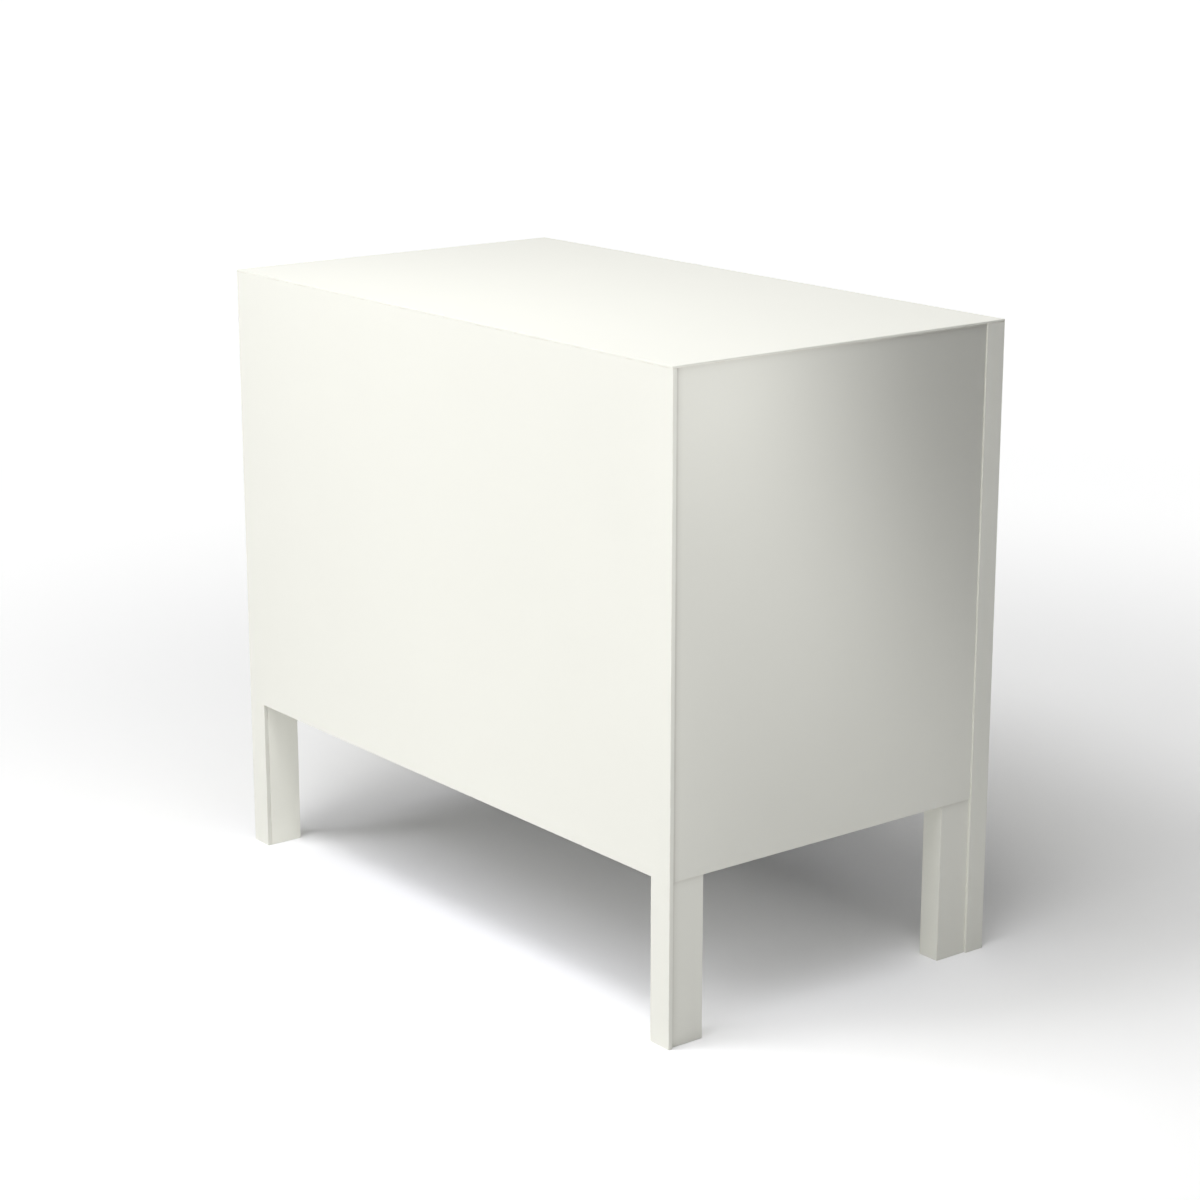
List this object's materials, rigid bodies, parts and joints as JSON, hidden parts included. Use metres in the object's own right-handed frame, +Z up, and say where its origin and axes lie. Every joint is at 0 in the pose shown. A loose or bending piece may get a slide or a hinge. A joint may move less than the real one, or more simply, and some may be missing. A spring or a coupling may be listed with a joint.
{
  "type": "dresser",
  "caption": "Low chest on four straight square legs with full-width inset drawers on roller runners, a framed front and a plain sheet back.",
  "frame": {"origin": "on the floor, at the middle of the overall width and of the overall depth, knobs included", "axes": "+Z up, -Y out of the drawer fronts, +X to the right of a person who faces the drawers"},
  "size_m": [0.8, 0.474, 0.703],
  "materials": {
    "case_paint": "satin off-white paint over board",
    "drawer_wood": "clear-lacquered birch plywood",
    "drawer_sheet": "white-faced hardboard",
    "runner_enamel": "white epoxy coat on rolled steel",
    "roller_plastic": "moulded nylon",
    "knob_metal": "satin nickel plate"
  },
  "bodies": {
    "case": {"top_panel": "case_paint", "back_panel": "case_paint", "bottom_panel": "case_paint", "side_panel_left": "case_paint", "side_panel_right": "case_paint", "stile_left": "case_paint", "stile_right": "case_paint", "front_post_left": "case_paint", "front_post_right": "case_paint", "rear_post_left": "case_paint", "rear_post_right": "case_paint", "bottom_rail": "case_paint", "lower_rail": "case_paint", "upper_rail": "case_paint", "top_rail": "case_paint", "cabinet_runner_bottom_left": "runner_enamel", "cabinet_runner_bottom_right": "runner_enamel", "cabinet_runner_middle_left": "runner_enamel", "cabinet_runner_middle_right": "runner_enamel", "cabinet_runner_top_left": "runner_enamel", "cabinet_runner_top_right": "runner_enamel"},
    "drawer_bottom": {"drawer_front_bottom": "case_paint", "drawer_side_bottom_left": "drawer_wood", "drawer_side_bottom_right": "drawer_wood", "drawer_back_bottom": "drawer_wood", "drawer_bottom_bottom": "drawer_sheet", "knobs_bottom": "knob_metal", "drawer_runner_bottom_left": "runner_enamel", "drawer_runner_bottom_right": "runner_enamel"},
    "front_roller_pair_bottom": {"front_rollers_bottom": "roller_plastic"},
    "rear_roller_pair_bottom": {"rear_rollers_bottom": "roller_plastic"},
    "drawer_middle": {"drawer_front_middle": "case_paint", "drawer_side_middle_left": "drawer_wood", "drawer_side_middle_right": "drawer_wood", "drawer_back_middle": "drawer_wood", "drawer_bottom_middle": "drawer_sheet", "knobs_middle": "knob_metal", "drawer_runner_middle_left": "runner_enamel", "drawer_runner_middle_right": "runner_enamel"},
    "front_roller_pair_middle": {"front_rollers_middle": "roller_plastic"},
    "rear_roller_pair_middle": {"rear_rollers_middle": "roller_plastic"},
    "drawer_top": {"drawer_front_top": "case_paint", "drawer_side_top_left": "drawer_wood", "drawer_side_top_right": "drawer_wood", "drawer_back_top": "drawer_wood", "drawer_bottom_top": "drawer_sheet", "knobs_top": "knob_metal", "drawer_runner_top_left": "runner_enamel", "drawer_runner_top_right": "runner_enamel"},
    "front_roller_pair_top": {"front_rollers_top": "roller_plastic"},
    "rear_roller_pair_top": {"rear_rollers_top": "roller_plastic"}
  },
  "joints": [
    {"name": "drawer_bottom_slide", "type": "slide", "parent": "case", "child": "drawer_bottom", "axis": [0, -1, 0], "range_m": [0, 0.3]},
    {"name": "front_rollers_bottom_spin", "type": "hinge", "parent": "case", "child": "front_roller_pair_bottom", "pos_m": [0, -0.1732, 0.2209], "axis": [1, 0, 0], "range_deg": [0, 1563]},
    {"name": "rear_rollers_bottom_spin", "type": "hinge", "parent": "drawer_bottom", "child": "rear_roller_pair_bottom", "pos_m": [0, 0.2023, 0.2191], "axis": [1, 0, 0], "range_deg": [0, 1719]},
    {"name": "drawer_middle_slide", "type": "slide", "parent": "case", "child": "drawer_middle", "axis": [0, -1, 0], "range_m": [0, 0.3]},
    {"name": "front_rollers_middle_spin", "type": "hinge", "parent": "case", "child": "front_roller_pair_middle", "pos_m": [0, -0.1732, 0.38623], "axis": [1, 0, 0], "range_deg": [0, 1563]},
    {"name": "rear_rollers_middle_spin", "type": "hinge", "parent": "drawer_middle", "child": "rear_roller_pair_middle", "pos_m": [0, 0.2023, 0.38443], "axis": [1, 0, 0], "range_deg": [0, 1719]},
    {"name": "drawer_top_slide", "type": "slide", "parent": "case", "child": "drawer_top", "axis": [0, -1, 0], "range_m": [0, 0.3]},
    {"name": "front_rollers_top_spin", "type": "hinge", "parent": "case", "child": "front_roller_pair_top", "pos_m": [0, -0.1732, 0.55157], "axis": [1, 0, 0], "range_deg": [0, 1563]},
    {"name": "rear_rollers_top_spin", "type": "hinge", "parent": "drawer_top", "child": "rear_roller_pair_top", "pos_m": [0, 0.2023, 0.54977], "axis": [1, 0, 0], "range_deg": [0, 1719]}
  ],
  "couplings": [
    {"joint": "front_rollers_bottom_spin", "follows": "drawer_bottom_slide", "rad_per_m": 90.909},
    {"joint": "rear_rollers_bottom_spin", "follows": "drawer_bottom_slide", "rad_per_m": 100},
    {"joint": "front_rollers_middle_spin", "follows": "drawer_middle_slide", "rad_per_m": 90.909},
    {"joint": "rear_rollers_middle_spin", "follows": "drawer_middle_slide", "rad_per_m": 100},
    {"joint": "front_rollers_top_spin", "follows": "drawer_top_slide", "rad_per_m": 90.909},
    {"joint": "rear_rollers_top_spin", "follows": "drawer_top_slide", "rad_per_m": 100}
  ]
}
